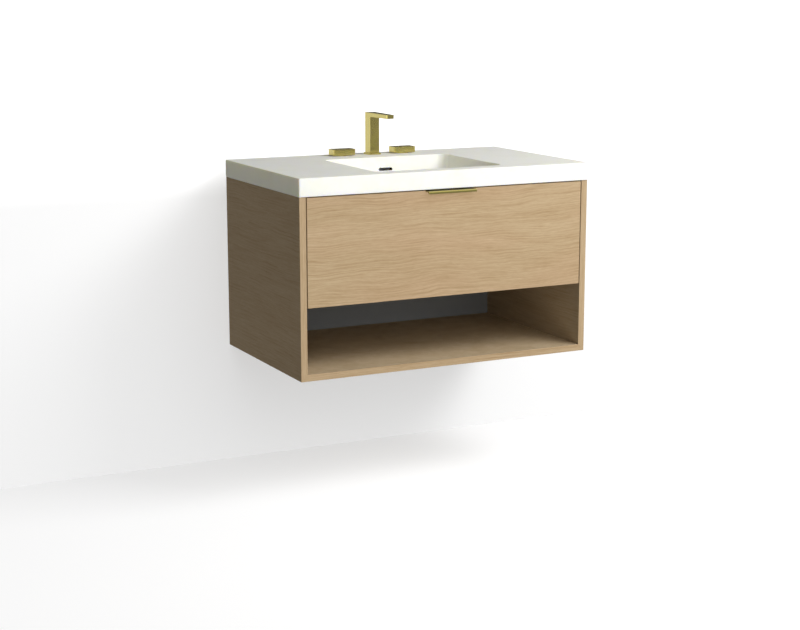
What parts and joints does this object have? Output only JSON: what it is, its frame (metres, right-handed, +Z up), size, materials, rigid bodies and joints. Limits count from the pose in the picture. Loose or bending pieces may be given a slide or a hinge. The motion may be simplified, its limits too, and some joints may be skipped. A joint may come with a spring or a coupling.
{
  "type": "floating vanity",
  "caption": "Wall-hung bathroom vanity with an open shelf, a full-width drawer on ball runners with an edge pull, a white top with its own basin and a widespread tap.",
  "frame": {"origin": "middle of the four wall fixing holes, in the wall plane at the back of the rails", "axes": "+X right as seen from the front, +Y into the wall, +Z up"},
  "size_m": [0.9144, 0.5695, 0.6857],
  "materials": {
    "oak": "matt oak veneer, grain along X on fronts and Y on sides",
    "birch": "clear satin lacquer",
    "grey_board": null,
    "cast_white": "cast composite with a satin gel coat",
    "satin_brass": "satin plated",
    "raw_brass": "plain machined",
    "steel": "zinc-plated, rolled",
    "zinc": "zinc",
    "black_plastic": "moulded",
    "rubber": "matt",
    "clear_pad": "clear soft pad"
  },
  "bodies": {
    "cabinet": {"side_panel_left": "oak", "side_panel_right": "oak", "bottom_panel": "oak", "shelf_divider": "oak", "back_panel": "grey_board", "hanging_rail": "birch", "lower_rail": "birch", "front_rail": "birch", "corner_blocks": "birch", "mitre_splines": "birch", "carcass_dowels": "birch", "cam_posts": "zinc", "cam_locks": "zinc", "bumper_pads": "clear_pad", "vanity_top": "cast_white", "overflow_duct": "cast_white", "overflow_liner": "black_plastic", "drain_flange": "satin_brass", "drain_gasket": "rubber", "drain_nut": "raw_brass", "tailpiece": "satin_brass", "spout": "satin_brass", "tap_plates": "satin_brass", "aerator": "steel", "spout_shank": "raw_brass", "tap_nuts": "raw_brass", "supply_tee": "raw_brass", "cross_tubes": "steel", "tube_nuts": "raw_brass", "valve_left": "raw_brass", "valve_right": "raw_brass", "cabinet_channel_left": "steel", "cabinet_channel_right": "steel", "channel_screws": "zinc"},
    "drawer": {"drawer_front": "oak", "edge_pull": "satin_brass", "drawer_screws": "zinc", "box_front": "birch", "box_side_left": "birch", "box_side_right": "birch", "box_back_left": "birch", "box_back_right": "birch", "well_side_left": "birch", "well_side_right": "birch", "well_front": "birch", "box_bottom": "birch", "drawer_channel_left": "steel", "drawer_channel_right": "steel", "drawer_channel_screws": "zinc"},
    "middle_runner_left": {"middle_channel_left": "steel"},
    "outer_balls_left": {"outer_cage_left": "steel"},
    "inner_balls_left": {"inner_cage_left": "steel"},
    "lever_left": {"handle_left": "satin_brass", "stem_left": "raw_brass"},
    "middle_runner_right": {"middle_channel_right": "steel"},
    "outer_balls_right": {"outer_cage_right": "steel"},
    "inner_balls_right": {"inner_cage_right": "steel"},
    "lever_right": {"handle_right": "satin_brass", "stem_right": "raw_brass"},
    "stopper": {"stopper": "satin_brass"}
  },
  "joints": [
    {"name": "drawer_slide", "type": "slide", "parent": "cabinet", "child": "drawer", "axis": [0, -1, 0], "range_m": [0, 0.44]},
    {"name": "middle_runner_left_slide", "type": "slide", "parent": "cabinet", "child": "middle_runner_left", "axis": [0, -1, 0], "range_m": [0, 0.22]},
    {"name": "outer_balls_left_slide", "type": "slide", "parent": "cabinet", "child": "outer_balls_left", "axis": [0, -1, 0], "range_m": [0, 0.11]},
    {"name": "inner_balls_left_slide", "type": "slide", "parent": "cabinet", "child": "inner_balls_left", "axis": [0, -1, 0], "range_m": [0, 0.33]},
    {"name": "middle_runner_right_slide", "type": "slide", "parent": "cabinet", "child": "middle_runner_right", "axis": [0, -1, 0], "range_m": [0, 0.22]},
    {"name": "outer_balls_right_slide", "type": "slide", "parent": "cabinet", "child": "outer_balls_right", "axis": [0, -1, 0], "range_m": [0, 0.11]},
    {"name": "inner_balls_right_slide", "type": "slide", "parent": "cabinet", "child": "inner_balls_right", "axis": [0, -1, 0], "range_m": [0, 0.33]},
    {"name": "lever_left_turn", "type": "hinge", "parent": "cabinet", "child": "lever_left", "pos_m": [-0.1016, -0.0505, 0.199], "axis": [0, 0, 1], "range_deg": [0, 90]},
    {"name": "lever_right_turn", "type": "hinge", "parent": "cabinet", "child": "lever_right", "pos_m": [0.1016, -0.0505, 0.199], "axis": [0, 0, -1], "range_deg": [0, 90]},
    {"name": "stopper_lift", "type": "slide", "parent": "cabinet", "child": "stopper", "axis": [0, 0, 1], "range_m": [0, 0.008]}
  ],
  "couplings": [
    {"joint": "middle_runner_left_slide", "follows": "drawer_slide", "ratio": 0.5},
    {"joint": "outer_balls_left_slide", "follows": "drawer_slide", "ratio": 0.25},
    {"joint": "inner_balls_left_slide", "follows": "drawer_slide", "ratio": 0.75},
    {"joint": "middle_runner_right_slide", "follows": "drawer_slide", "ratio": 0.5},
    {"joint": "outer_balls_right_slide", "follows": "drawer_slide", "ratio": 0.25},
    {"joint": "inner_balls_right_slide", "follows": "drawer_slide", "ratio": 0.75}
  ]
}
